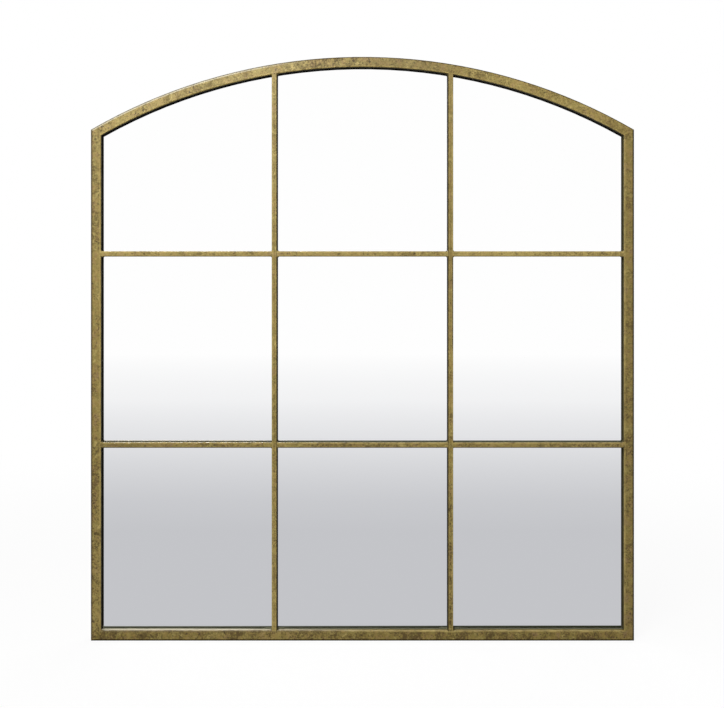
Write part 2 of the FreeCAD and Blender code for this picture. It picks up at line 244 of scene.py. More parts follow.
def off_edge(start: float, end: float, low: float = 0.0, high: float = 1.0) -> Step:
    """A step in the depth into a tube between two distances from its outer edge, in millimetres."""
    return Step(PLAN.tube_face - start * MM, PLAN.tube_face - end * MM, low, high)


def downwards(low: Value | Mark = 0.0, high: Value | Mark = 1.0) -> Step:
    """A step in z from the upper transom down to the lower one."""
    return Step(PLAN.upper_transom, PLAN.lower_transom, low, high)


def leftwards(low: float = 0.0, high: float = 1.0) -> Step:
    """A step in x from right of the middle to well left of it."""
    return Step(0.1, -0.25, low, high)


def drifting(start: float, end: float, first: Step, second: Step) -> Step:
    """A step that moves from a first place to a second as x goes from a start to an end."""
    begins = Mark(x=Step(start, end, first.start, second.start))
    return Step(begins, Mark(x=Step(start, end, first.end, second.end)))


class NodeGraph:
    """Short ways to add and join the nodes of one tree."""

    def __init__(self, tree: bpy.types.NodeTree) -> None:
        """Empties the tree and starts on it."""
        tree.nodes.clear()
        self.tree = tree

    def add(
        self, kind: str, feeds: Mapping[str | int, Value] | None = None, **settings: object
    ) -> bpy.types.Node:
        """Adds a node.

        Args:
            kind: The node's type name.
            feeds: What its inputs are fed with, by name or number.
            settings: Properties to set on it.

        Returns:
            The new node.
        """
        node = self.tree.nodes.new(kind)
        for name, setting in settings.items():
            setattr(node, name, setting)
        for name, value in (feeds or {}).items():
            self.feed(node.inputs[name], value)
        return node

    def feed(self, socket: Socket, value: Value) -> None:
        """Joins an output to an input socket, or writes a plain value on it.

        Args:
            socket: The input to feed.
            value: An output socket or a plain value.
        """
        if isinstance(value, Socket):
            self.tree.links.new(value, socket)
        else:
            socket.default_value = value

    def math(self, operation: str, first: Value, *others: Value) -> Socket:
        """Arithmetic on one value, or on several from the first to the last.

        Args:
            operation: The Math node's operation.
            first: The first value.
            others: The other values, where the operation takes more than one.

        Returns:
            The result.
        """
        for other in others or (0.0,):
            first = self.add("ShaderNodeMath", {0: first, 1: other}, operation=operation).outputs[0]
        return first

    def plus(self, *values: Value) -> Socket:
        """The values added up."""
        return self.math("ADD", *values)

    def minus(self, value: Value, other: Value) -> Socket:
        """One value less another."""
        return self.math("SUBTRACT", value, other)

    def times(self, *values: Value) -> Socket:
        """The values multiplied."""
        return self.math("MULTIPLY", *values) if len(values) > 1 else values[0]

    def largest(self, *values: Value) -> Socket:
        """The largest of the values."""
        return self.math("MAXIMUM", *values)

    def off(self, value: Socket, level: float = 0.0) -> Socket:
        """Distance of a value from a level, to either side."""
        return self.math("ABSOLUTE", self.minus(value, level) if level else value)

    def length(self, across: Socket, along: Socket) -> Socket:
        """Length of a line that runs so far across and so far along."""
        return self.math("SQRT", self.plus(self.times(across, across), self.times(along, along)))


class ShaderGraph(NodeGraph):
    """Builds the nodes of a material or of the world."""

    def coordinates(self, kind: str = "Object") -> Socket:
        """Place on the piece, in metres in the mirror's own frame, or another kind of coordinates."""
        return self.add("ShaderNodeTexCoord").outputs[kind]

    def parts(self, vector: Socket) -> tuple[Socket, Socket, Socket]:
        """The three components of a vector."""
        x, y, z = self.add("ShaderNodeSeparateXYZ", {0: vector}).outputs
        return x, y, z

    def ease(self, value: Socket, step: Step) -> Socket:
        """A value after a smooth step."""
        feeds = dict(enumerate((value, *step)))
        return self.add("ShaderNodeMapRange", feeds, interpolation_type="SMOOTHSTEP").outputs[0]

    def ramp(self, value: Socket, stops: Stops) -> Socket:
        """Colours along a value.

        Args:
            value: The value to read.
            stops: Each stop's value and colour, in rising order.

        Returns:
            The colour.
        """
        node = self.add("ShaderNodeValToRGB", {0: value})
        elements = node.color_ramp.elements
        while len(elements) < len(stops):
            elements.new(1.0)
        for element, (position, colour) in zip(elements, stops):
            element.position = position
            element.color = colour
        return node.outputs[0]

    def tint(self, amount: Value, under: Value, over: Value) -> Socket:
        """One colour over another, by an amount from 0 to 1."""
        return self.add("ShaderNodeMix", {0: amount, 6: under, 7: over}, data_type="RGBA").outputs[2]

    def between(self, amount: Value, first: Value, second: Value) -> Socket:
        """A value between two others, by an amount from 0 to 1."""
        return self.add("ShaderNodeMix", {0: amount, 2: first, 3: second}, data_type="FLOAT").outputs[0]

    def blend(self, amount: Value, first: Socket, second: Socket) -> Socket:
        """One shader over another, by an amount from 0 to 1."""
        return self.add("ShaderNodeMixShader", {0: amount, 1: first, 2: second}).outputs[0]


class SurfaceGraph(ShaderGraph):
    """Builds the nodes of one finish around its surface shader."""

    def __init__(self, tree: bpy.types.NodeTree) -> None:
        """Starts with the shader, and with the place on the piece and its three parts.

        Args:
            tree: The material's tree.
        """
        super().__init__(tree)
        self.shader = self.add("ShaderNodeBsdfPrincipled")
        self.add("ShaderNodeOutputMaterial", {"Surface": self.shader.outputs[0]})
        self.place = self.coordinates()
        self.x, self.y, self.z = self.parts(self.place)
        self.depth: Socket | None = None

    def surface(self, feeds: Mapping[str, Value]) -> None:
        """Feeds the shader's inputs by name."""
        for name, value in feeds.items():
            self.feed(self.shader.inputs[name], value)

    def mapped(self, scale: Sequence[float], turn: float = 0.0, kind: str = "POINT") -> Socket:
        """The place on the piece, scaled along each axis and turned about Y."""
        feeds = {"Vector": self.place, "Scale": scale, "Rotation": (0.0, turn, 0.0)}
        return self.add("ShaderNodeMapping", feeds, vector_type=kind).outputs[0]

    def ease(self, value: Socket, step: Step) -> Socket:
        """A value after a smooth step, whose numbers may be marks."""
        return super().ease(value, Step(*(self.read(number) for number in step)))

    def noise(self, noise: Noise, place: Socket | None = None) -> Socket:
        """Cloudy noise on the piece.

        Args:
            noise: The noise.
            place: Where it is read, if not at the plain place on the piece.

        Returns:
            Its value, from 0 to 1 and about 0.5, or what its step makes of that.
        """
        feeds = {
            "Vector": self.place if place is None else place,
            "Scale": 1 / noise.size,
            "Detail": noise.detail,
            "Roughness": noise.roughness,
            "Distortion": noise.swirl,
        }
        value = self.add("ShaderNodeTexNoise", feeds).outputs[0]
        return value if noise.step is None else self.ease(value, noise.step)

    def cells(self, size: float) -> Socket:
        """Distance from the middle of cells of a size."""
        feeds = {"Vector": self.place, "Scale": 1 / size}
        return self.add("ShaderNodeTexVoronoi", feeds).outputs["Distance"]

    def bump(self, height: Socket, distance: float, strength: float) -> Socket:
        """Normal of a relief: its height, the distance that a height of 1 stands for, and its strength."""
        feeds = {"Height": height, "Distance": distance, "Strength": strength}
        return self.add("ShaderNodeBump", feeds).outputs[0]

    def read(self, value: Value | Mark) -> Value:
        """Reads how far a mark shows.

        Args:
            value: The mark, or a value that is passed on as it is.

        Returns:
            The value.
        """
        if not isinstance(value, Mark):
            return value
        x = self.x if value.middle_x is None else self.off(self.x, value.middle_x)
        z = self.z if value.middle_z is None else self.off(self.z, value.middle_z)
        shares = []
        for place, step in ((self.depth, value.depth), (x, value.x), (self.y, value.y), (z, value.z)):
            if step is not None:
                shares.append(self.ease(place, step))
        if value.noise is not None:
            shares.append(self.noise(value.noise))
        return self.times(*shares)


@dataclass(frozen=True)
class Finish:
    """A surface made from nodes. Each kind lays its own."""

    slot: ClassVar[Slot]

    @property
    def name(self) -> str:
        """Name of the material."""
        return self.slot.value

    def material(self) -> bpy.types.Material:
        """Makes the material the first time that it is asked for.

        Returns:
            The material.
        """
        name = f"finish_{self.name}"
        known = bpy.data.materials.get(name)
        if known is not None:
            return known
        made = bpy.data.materials.new(name)
        made.use_nodes = True
        self.lay(SurfaceGraph(made.node_tree))
        return made

    def lay(self, graph: SurfaceGraph) -> None:
        """Joins the finish's nodes to the shader of its graph."""
        raise NotImplementedError


@dataclass(frozen=True)
class AntiqueGold(Finish):
    """Gold paint rubbed over a dark ground, clouded and specked with brown, with light and shade painted into
    it.

    Each member's marks say where its clouds show and where it is painted paler or darker for the light
    across the frame, where an even brown veil lies, which patches of colour and painted highlight lie on
    it, which edges are darkened by glaze and painted shade, and where painted shade lies beside the glass.
    """

    slot: ClassVar[Slot] = Slot.ANTIQUE_GOLD
    gold: Colour = screen(149, 126, 62)
    straw: Colour = screen(184, 163, 96)
    olive: Colour = screen(133, 119, 56)
    tan: Colour = screen(143, 118, 74)
    # Painted highlight: a pale cream laid where the light glints on the bottom rail and the arch.
    painted_highlight: Colour = screen(228, 222, 198)
    # Brown of the clouds, also laid as painted shade on the bottom rail's front rounding.
    smudge_and_shade: Colour = screen(88, 71, 36)
    speck: Colour = screen(52, 38, 16)
    # Brown of the dark edges: partly a glaze of the finish, partly painted shade on edges turned from the
    # light.
    brown: Colour = screen(40, 29, 6)
    # Painted shade beside the glass and on the welds behind their fronts, partly the finish's dark ground:
    # the olive is a lighter copy on the welds and on sides turned to the light, the green is for upper sides.
    hollow: Colour = screen(26, 22, 8)
    hollow_olive: Colour = screen(72, 66, 34)
    hollow_green: Colour = screen(58, 60, 40)
    # Painted light: a pale colour in the gap under the glass, where the rail and the board would lie in
    # shade.
    gap_light: Colour = screen(203, 202, 170)
    member: Member = Member.WELD
    # How much the clouds show; on some members it changes by place as painted light.
    clouds_and_painted_light: Mark | float = 0.95
    veil: Mark | float = 0.0
    # Where the paint is made paler in straw: painted light.
    pale: Mark | float = 0.0
    patches: tuple[tuple[Colour, Mark], ...] = ()
    # Dark edges: partly glaze, partly painted shade.
    glazes_and_edge_shade: tuple[Mark, ...] = ()
    # Painted shade; by default on the welds behind their fronts.
    shade: Mark = Mark(y=behind(1.2, 3.2, high=0.9))
    shade_colours: tuple[Colour, Colour] = (hollow_olive, hollow_olive)
    shade_change: Mark | float = 0.0
    hue: Noise = Noise(11 * MM, 5.0, 0.66, 0.4)
    hues: Stops = ((0.36, tan), (0.46, gold), (0.56, olive), (0.68, straw))
    rubs: Noise = Noise(4 * MM, 5.0, 0.72, step=Step(0.44, 0.78, high=0.8))
    low_brown: Step = Step(PLAN.upper_transom, PLAN.foot, high=0.03)
    clouds: Noise = Noise(12 * MM, 7.0, 0.74, 0.6)
    cloud_scale: Triple = (1.1, 1.0, 0.9)
    cloud_groups: Noise = Noise(45 * MM, 2.0, step=Step(0.3, 0.7, -0.06, 0.06))
    mottle: Noise = Noise(2.6 * MM, 3.0, 0.6, step=Step(0.3, 0.7, -0.11, 0.11))
    cloud_edge: Step = Step(0.42, 0.71)
    cloud_dullness: float = 0.5
    specks: Noise = Noise(3 * MM, 3.0, step=Step(0.57, 0.68))
    speck_groups: Noise = Noise(26 * MM, 3.0)
    speck_edge: Step = Step(0.42, 0.62)
    speck_strength: float = 0.85
    speck_pit: float = -0.3
    metal: float = 0.25
    gloss: Noise = Noise(9 * MM, 3.0)
    roughness: Pair = (0.44, 0.64)
    dull_roughness: float = 0.9
    coat: float = 0.8
    coat_end: Step = behind(1.6, 4.0, high=0.8)
    grain: Noise = Noise(3 * MM, 5.0, 0.6)

    @property
    def name(self) -> str:
        """Name of the material, one for each kind of member."""
        return f"{self.slot.value}_{self.member.value}"

    def depth_in(self, graph: SurfaceGraph) -> Socket | None:
        """Depth into the member from its side beside the glass.

        Args:
            graph: The material's graph.

        Returns:
            The depth, or None on a weld.
        """
        match self.member:
            case Member.STILE:
                return graph.minus(graph.off(graph.x), PLAN.inner_half_width)
            case Member.BOTTOM_RAIL:
                return graph.minus(PLAN.inner_foot, graph.z)
            case Member.ARCH_RAIL:
                radius = graph.length(graph.x, graph.minus(graph.z, PLAN.arch_centre))
                return graph.minus(radius, PLAN.inner_arch_radius)
            case Member.MULLION:
                return graph.minus(PLAN.half_bar, graph.off(graph.off(graph.x), PLAN.mullion_x))
            case Member.TRANSOM:
                nearest = graph.math("MINIMUM", *(graph.off(graph.z, level) for level in PLAN.transoms))
                return graph.minus(PLAN.half_bar, nearest)
        return None

    def patina(self, graph: SurfaceGraph) -> tuple[Socket, Socket, Socket]:
        """Rubbed paint, browner towards the foot, with painted light and shade by place.

        Args:
            graph: The material's graph.

        Returns:
            The colour, the brown clouds on it, and the specks in it.
        """
        low = graph.ease(graph.z, self.low_brown)
        colour = graph.ramp(graph.noise(self.hue), self.hues)
        colour = graph.tint(graph.noise(self.rubs), colour, self.straw)
        clouds = graph.noise(self.clouds, graph.mapped(self.cloud_scale))
        clouds = graph.plus(clouds, low, graph.noise(self.cloud_groups), graph.noise(self.mottle))
        clouds = graph.ease(clouds, self.cloud_edge)
        # Clouds, scaled by place, and an even veil brown the paint; the pale mark is painted light in straw.
        browned = graph.largest(graph.times(clouds, graph.read(self.clouds_and_painted_light)), graph.read(self.veil))
        colour = graph.tint(browned, graph.tint(graph.read(self.pale), colour, self.straw), self.smudge_and_shade)
        gathered = graph.ease(graph.plus(graph.noise(self.speck_groups), low), self.speck_edge)
        specks = graph.times(graph.noise(self.specks), gathered)
        colour = graph.tint(graph.times(specks, self.speck_strength), colour, self.speck)
        return colour, clouds, specks

    def lay(self, graph: SurfaceGraph) -> None:
        """Joins the finish's nodes to the shader.

        Args:
            graph: The material's graph.
        """
        graph.depth = self.depth_in(graph)
        colour, clouds, specks = self.patina(graph)
        dull = graph.times(clouds, self.cloud_dullness)
        for patch_colour, mark in self.patches:
            colour = graph.tint(graph.read(mark), colour, patch_colour)
        # Painted shade beside the glass, in a colour that may change across the frame as painted light.
        shade_colour = graph.tint(graph.read(self.shade_change), *self.shade_colours)
        # Dark edges, partly glaze and partly painted shade, then the painted shade beside the glass.
        layers = [(mark, self.brown) for mark in self.glazes_and_edge_shade]
        layers.append((self.shade, shade_colour))
        for mark, over in layers:
            shown = graph.read(mark)
            colour = graph.tint(shown, colour, over)
            dull = graph.largest(dull, shown)
        bare = graph.largest(dull, graph.ease(graph.y, self.coat_end))
        roughness = graph.between(graph.noise(self.gloss), *self.roughness)
        relief = graph.plus(graph.noise(self.grain), graph.times(specks, self.speck_pit))
        graph.surface(
            {
                "Base Color": colour,
                "Metallic": graph.between(dull, self.metal, 0.0),
                "Roughness": graph.between(dull, roughness, self.dull_roughness),
                "Coat Weight": graph.between(bare, self.coat, 0.0),
                "Coat Roughness": 0.36,
                "Coat IOR": 1.35,
                "Specular IOR Level": 0.2,
                "Normal": graph.bump(relief, distance=0.35 * MM, strength=0.35),
            }
        )


ALONG_UPRIGHT: Triple = (0.8, 1.0, 1.15)
# A pale line along the inner front edges: partly wear, partly painted highlight where the rounding catches
# the light.
EDGE_NOISE = Noise(14 * MM, 3.0, step=Step(0.3, 0.7, 0.1, 0.7))
WORN_EDGE_AND_HIGHLIGHT = (AntiqueGold.straw, Mark(depth=depths(3.2, 1.4), noise=EDGE_NOISE))
# How far behind the front the dark edges of glaze and painted shade reach.
GLAZE_AND_SHADE_END = behind(7.0, 2.5)
INNER_SIDE = depths(0.9, 0.1)
# Painted shade on the side beside the glass, partly the finish's dark ground.
INNER_SHADE = Mark(y=behind(0.4, 1.3), depth=INNER_SIDE)
ACROSS = Step(-PLAN.half_width, PLAN.half_width)
BAR_INNER = PLAN.mullion_x - PLAN.half_bar
BAR_OUTER = PLAN.mullion_x + PLAN.half_bar
BETWEEN_TRANSOMS = sum(PLAN.transoms) / 2

WELD_GOLD = AntiqueGold()
STILE_GOLD = AntiqueGold(
    member=Member.STILE,
    cloud_scale=ALONG_UPRIGHT,
    clouds_and_painted_light=Mark(z=downwards(0.75, 0.95)),
    veil=Mark(x=leftwards(0.2, 0.08)),
    # Painted light: the left stile paler towards its foot.
    pale=Mark(x=leftwards(), z=Step(PLAN.lower_transom, PLAN.foot, high=0.4)),
    patches=(WORN_EDGE_AND_HIGHLIGHT,),
    # Outer edge darkened, more on the right: glaze and painted shade.
    glazes_and_edge_shade=(Mark(x=Step(-PLAN.half_width, 0.0, 0.7, 0.95), y=GLAZE_AND_SHADE_END, depth=off_edge(3.0, 1.6)),),
    # Painted shade beside the glass, partly the dark ground; the right stile's side is painted lighter olive,
    # as lit from the left.
    shade=Mark(y=behind(0.6, 1.5), depth=INNER_SIDE),
    shade_colours=(AntiqueGold.hollow, AntiqueGold.hollow_olive),
    shade_change=Mark(x=ACROSS),
)
BOTTOM_RAIL_GOLD = AntiqueGold(
    member=Member.BOTTOM_RAIL,
    # Painted light: a paler stretch left of the middle.
    pale=Mark(x=Step(0.14, 0.04, high=0.22), middle_x=-0.13),
    patches=(
        # The pale inner edge, partly wear and partly painted highlight, kept off the left end.
        (AntiqueGold.straw, Mark(x=Step(-0.2, 0.1, high=0.8), depth=depths(3.2, 1.4), noise=EDGE_NOISE)),
        # Painted shade dulling the front rounding towards the left end.
        (
            AntiqueGold.smudge_and_shade,
            Mark(x=Step(0.1, -0.2), y=behind(3.2, 1.6), depth=depths(2.8, 1.4, high=0.55)),
        ),
        # Painted highlight on the rail's upper side towards its left end.
        (
            AntiqueGold.painted_highlight,
            Mark(x=Step(0.04, -0.2), y=behind(2.5, 6.5, high=0.85), depth=depths(0.8, 0.2)),
        ),
    ),
    # Bottom edge darkened: glaze and painted shade where it faces down.
    glazes_and_edge_shade=(Mark(y=GLAZE_AND_SHADE_END, depth=off_edge(3.0, 1.6, high=0.95)),),
    # Painted shade on the upper side beside the glass, starting deeper at the left end, which is painted as
    # lit, and pale painted light where the gap under the glass shows.
    shade=Mark(y=drifting(-0.3, 0.05, behind(11.0, 13.0), behind(5.0, 9.0)), depth=INNER_SIDE),
    shade_colours=(AntiqueGold.hollow_green, AntiqueGold.gap_light),
    shade_change=Mark(y=behind(12.6, 13.0)),
)
ARCH_RAIL_GOLD = AntiqueGold(
    member=Member.ARCH_RAIL,
    # Fewer clouds towards both ends: painted light.
    clouds_and_painted_light=Mark(x=Step(0.0, -0.2, Mark(x=Step(0.06, 0.3, 1.0, 0.55)), 0.55)),
    veil=Mark(x=Step(0.12, 0.02, high=0.36), middle_x=0.07),
    # Painted light: paler towards both ends.
    pale=Mark(x=Step(0.0, -0.2, Mark(x=Step(0.06, 0.3, high=0.24)), 0.24)),
    patches=(
        WORN_EDGE_AND_HIGHLIGHT,
        # Painted highlight along the outer edge on the left.
        (
            AntiqueGold.painted_highlight,
            Mark(x=Step(-0.06, -0.2), y=behind(3.0, 1.5), depth=off_edge(3.6, 2.4, high=0.5)),
        ),
    ),
    # Outer edge darkened: glaze and painted shade.
    glazes_and_edge_shade=(Mark(y=GLAZE_AND_SHADE_END, depth=off_edge(1.7, 1.0, high=0.65)),),
    shade=INNER_SHADE,
    shade_colours=(AntiqueGold.hollow, AntiqueGold.hollow),
)
MULLION_GOLD = AntiqueGold(
    member=Member.MULLION,
    cloud_scale=ALONG_UPRIGHT,
    # Clouds grow lower down on the right mullion only: painted light on the left one.
    clouds_and_painted_light=Mark(z=downwards(0.45, Mark(x=leftwards(1.0, 0.45)))),
    veil=Mark(x=leftwards(0.3, 0.0), z=downwards(1.0, 0.0)),
    # Painted light: the left mullion paler towards its foot.
    pale=Mark(x=leftwards(), z=Step(PLAN.lower_transom, PLAN.foot, high=0.9)),
    patches=(WORN_EDGE_AND_HIGHLIGHT,),
    # Painted shade on the edges that face the middle, widening the shaded sides, and a dark streak on the
    # right mullion's outer edge between the transoms.
    glazes_and_edge_shade=(
        Mark(x=Step(BAR_INNER + 1.7 * MM, BAR_INNER + 0.8 * MM, high=0.9), middle_x=0.0, y=GLAZE_AND_SHADE_END),
        Mark(
            x=Step(BAR_OUTER - 1.7 * MM, BAR_OUTER - 0.9 * MM, high=0.9),
            y=GLAZE_AND_SHADE_END,
            z=Step(
                PLAN.upper_transom - 2 * MM,
                PLAN.upper_transom - 6 * MM,
                high=Mark(z=Step(BETWEEN_TRANSOMS - 12 * MM, BETWEEN_TRANSOMS + 12 * MM)),
            ),
        ),
    ),
    shade=INNER_SHADE,
    shade_colours=(AntiqueGold.hollow, AntiqueGold.hollow),
)
TRANSOM_GOLD = AntiqueGold(
    member=Member.TRANSOM,
    clouds_and_painted_light=Mark(z=downwards(0.75, 1.0)),
    veil=Mark(x=Step(-0.2, -PLAN.half_width, high=0.48), z=downwards()),
    # Painted light: paler towards the right, most on the upper transom.
    pale=Mark(
        z=downwards(
            Mark(x=Step(0.05, PLAN.half_width, 0.2, 0.85)),
            Mark(x=Step(0.15, PLAN.half_width, high=0.35)),
        )
    ),
    patches=(WORN_EDGE_AND_HIGHLIGHT,),
    # Lower edges darkened: glaze and painted shade where they face down.
    glazes_and_edge_shade=(
        Mark(y=GLAZE_AND_SHADE_END, z=depths(2.4, 0.9, high=0.7), middle_z=PLAN.lower_transom - PLAN.half_bar),
        Mark(y=GLAZE_AND_SHADE_END, z=depths(2.4, 0.9, high=0.4), middle_z=PLAN.upper_transom - PLAN.half_bar),
    ),
    # Painted shade on the sides beside the glass, starting deeper at the left end, which is painted as lit.
    shade=Mark(y=drifting(-0.2, -0.1, behind(1.8, 6.5), behind(0.6, 2.6)), depth=INNER_SIDE),
    shade_colours=(AntiqueGold.hollow_green, AntiqueGold.hollow_green),
)


@dataclass(frozen=True)
class MirrorSheet(Finish):
    """Silvered float glass with dark green edges and a painted back.

    A band of painted shade lies along its foot, where the silvered face stops.
    """

    slot: ClassVar[Slot] = Slot.MIRROR
    silver: Colour = screen(254, 254, 254)
    edge: Colour = screen(26, 32, 16)
    back_paint: Colour = screen(122, 126, 130)
    # Painted shade along the foot of the glass, grey on the left and olive on the right, and the height it
    # reaches.
    foot_shade_grey: Colour = screen(104, 108, 96)
    foot_shade_olive: Colour = screen(60, 62, 44)
    foot_shade_heights: Step = Step(-PLAN.half_width, PLAN.half_width, 3.5 * MM, 4.4 * MM)
    foot_shade_edge: Step = depths(-0.1, 0.0)
    front: Step = Step(PLAN.glass_front + 0.06 * MM, PLAN.glass_front + 0.02 * MM)
    back: Step = Step(PLAN.glass_back - 0.06 * MM, PLAN.glass_back - 0.02 * MM)
    smears: Noise = Noise(180 * MM, 5.0, 0.6, 1.2, Step(0.45, 0.75, 0.004, 0.016))
    paint_roughness: float = 0.7

    def lay(self, graph: SurfaceGraph) -> None:
        """Joins the finish's nodes to the shader.

        Args:
            graph: The material's graph.
        """
        front = graph.ease(graph.y, self.front)
        # The silvered face stops at a band of painted shade along the foot, in place of the shade and dark
        # reflection beside the bottom rail.
        foot_shade_top = graph.plus(graph.ease(graph.x, self.foot_shade_heights), PLAN.inner_foot)
        face = graph.times(front, graph.ease(graph.minus(graph.z, foot_shade_top), self.foot_shade_edge))
        painted_foot_shade = graph.tint(graph.ease(graph.x, ACROSS), self.foot_shade_grey, self.foot_shade_olive)
        colour = graph.tint(face, graph.tint(front, self.edge, painted_foot_shade), self.silver)
        colour = graph.tint(graph.ease(graph.y, self.back), colour, self.back_paint)
        graph.surface(
            {
                "Base Color": colour,
                "Metallic": face,
                "Roughness": graph.between(face, self.paint_roughness, graph.noise(self.smears)),
                "Specular IOR Level": 0.1,
            }
        )


@dataclass(frozen=True)
class FibreBoard(Finish):
    """Thin brown hardboard, pressed from matted wood fibres.

    Its face towards the glass has painted shade, and painted light near the foot.
    """

    slot: ClassVar[Slot] = Slot.BOARD
    light: Colour = screen(168, 130, 92)
    middle: Colour = screen(142, 104, 68)
    dark: Colour = screen(104, 72, 44)
    # Painted shade on the face towards the glass, where it shows past the glass, and painted light near its
    # foot.
    glass_side_shade: Colour = screen(30, 22, 14)
    gap_light: Colour = AntiqueGold.gap_light
    blotches: Noise = Noise(110 * MM, 3.0, 0.5)
    tones: Stops = ((0.2, middle), (0.85, light))
    mat: Noise = Noise(5 * MM, 5.0, 0.7, step=Step(0.4, 0.7, high=0.4))
    strands: Noise = Noise(9 * MM, 2.0, 0.5, step=Step(0.62, 0.7))
    strand_scale: Triple = (1.0, 1.0, 1 / 9)
    strand_turns: tuple[float, ...] = (0.3, 1.4, 2.5)
    strand_strength: float = 0.5
    strand_height: float = 0.4
    flecks: Noise = Noise(1.6 * MM, 3.0, step=Step(0.62, 0.74, high=0.6))
    # Where the face towards the glass, and its painted light near the foot, begin.
    front: Step = Step(PLAN.glass_back + 1.2 * MM, PLAN.glass_back + 0.5 * MM)
    gap_lit: Step = Step(PLAN.inner_foot + 4 * MM, PLAN.inner_foot + 2.5 * MM)
    roughness: Pair = (0.62, 0.85)
    grain: Noise = Noise(1.2 * MM)

    def lay(self, graph: SurfaceGraph) -> None:
        """Joins the finish's nodes to the shader.

        Args:
            graph: The material's graph.
        """
        mat = graph.noise(self.mat)
        colour = graph.tint(mat, graph.ramp(graph.noise(self.blotches), self.tones), self.middle)
        lays = [graph.mapped(self.strand_scale, turn, "TEXTURE") for turn in self.strand_turns]
        fibres = graph.largest(*(graph.noise(self.strands, place) for place in lays))
        colour = graph.tint(graph.times(fibres, self.strand_strength), colour, self.dark)
        colour = graph.tint(graph.noise(self.flecks), colour, self.dark)
        # Painted shade on the face towards the glass, pale painted light near its foot.
        face = graph.tint(graph.ease(graph.z, self.gap_lit), self.glass_side_shade, self.gap_light)
        relief = graph.plus(graph.noise(self.grain), graph.times(fibres, self.strand_height))
        graph.surface(
            {
                "Base Color": graph.tint(graph.ease(graph.y, self.front), colour, face),
                "Roughness": graph.between(mat, *self.roughness),
                "Normal": graph.bump(relief, distance=0.2 * MM, strength=0.4),
            }
        )


@dataclass(frozen=True)
class ZincSteel(Finish):
    """Pressed steel with a bright zinc coat, cloudy and lightly scratched."""

    slot: ClassVar[Slot] = Slot.ZINC_STEEL
    bright: Colour = screen(206, 208, 210)
    blue: Colour = screen(184, 192, 204)
    straw: Colour = screen(206, 198, 172)
    scratch: Colour = screen(128, 128, 126)
    clouds: Noise = Noise(5 * MM, 4.0, 0.6, 0.8)
    hues: Stops = ((0.32, blue), (0.5, bright), (0.66, straw))
    scratches: Noise = Noise(5 * MM, 3.0, step=Step(0.64, 0.7, high=0.5))
    scratch_scale: Triple = (1.0, 1.0, 14.0)
    roughness: Pair = (0.26, 0.5)
    grain: Noise = Noise(0.8 * MM)

    def lay(self, graph: SurfaceGraph) -> None:
        """Joins the finish's nodes to the shader.

        Args:
            graph: The material's graph.
        """
        clouds = graph.noise(self.clouds)
        scratches = graph.noise(self.scratches, graph.mapped(self.scratch_scale))
        graph.surface(
            {
                "Base Color": graph.tint(scratches, graph.ramp(clouds, self.hues), self.scratch),
                "Metallic": 1.0,
                "Roughness": graph.between(clouds, *self.roughness),
                "Normal": graph.bump(graph.noise(self.grain), distance=0.05 * MM, strength=0.3),
            }
        )


@dataclass(frozen=True)
class CellFoam(Finish):
    """Soft dark foam with open cells."""

    slot: ClassVar[Slot] = Slot.FOAM
    skin: Colour = screen(58, 58, 60)
    pore: Colour = screen(24, 24, 26)
    cell: float = 0.7 * MM
    tones: Stops = ((0.15, pore), (0.6, skin))
    softness: Noise = Noise(4 * MM)
    roughness: Pair = (0.8, 0.95)

    def lay(self, graph: SurfaceGraph) -> None:
        """Joins the finish's nodes to the shader.

        Args:
            graph: The material's graph.
        """
        pores = graph.cells(self.cell)
        graph.surface(
            {
                "Base Color": graph.ramp(pores, self.tones),
                "Roughness": graph.between(graph.noise(self.softness), *self.roughness),
                "Normal": graph.bump(pores, distance=0.3 * MM, strength=0.6),
            }
        )


@dataclass(frozen=True)
class MouldedRubber(Finish):
    """Moulded rubber with a fine grain and a little dust."""

    slot: ClassVar[Slot] = Slot.RUBBER
    piece: RubberPiece = RubberPiece.BUMPER
    body: Colour = screen(34, 34, 36)
    film: Colour = screen(84, 82, 78)
    dust: Noise = Noise(4 * MM, 5.0, 0.65, step=Step(0.52, 0.76, high=0.6))
    roughness: Pair = (0.5, 0.8)
    grain: Noise = Noise(0.5 * MM, 3.0)

    @property
    def name(self) -> str:
        """Name of the material, one for each kind of piece."""
        return f"{self.slot.value}_{self.piece.value}"

    def lay(self, graph: SurfaceGraph) -> None:
        """Joins the finish's nodes to the shader.

        Args:
            graph: The material's graph.
        """
        dust = graph.noise(self.dust)
        graph.surface(
            {
                "Base Color": graph.tint(dust, self.body, self.film),
                "Roughness": graph.between(dust, *self.roughness),
                "Normal": graph.bump(graph.noise(self.grain), distance=0.08 * MM, strength=0.5),
            }
        )


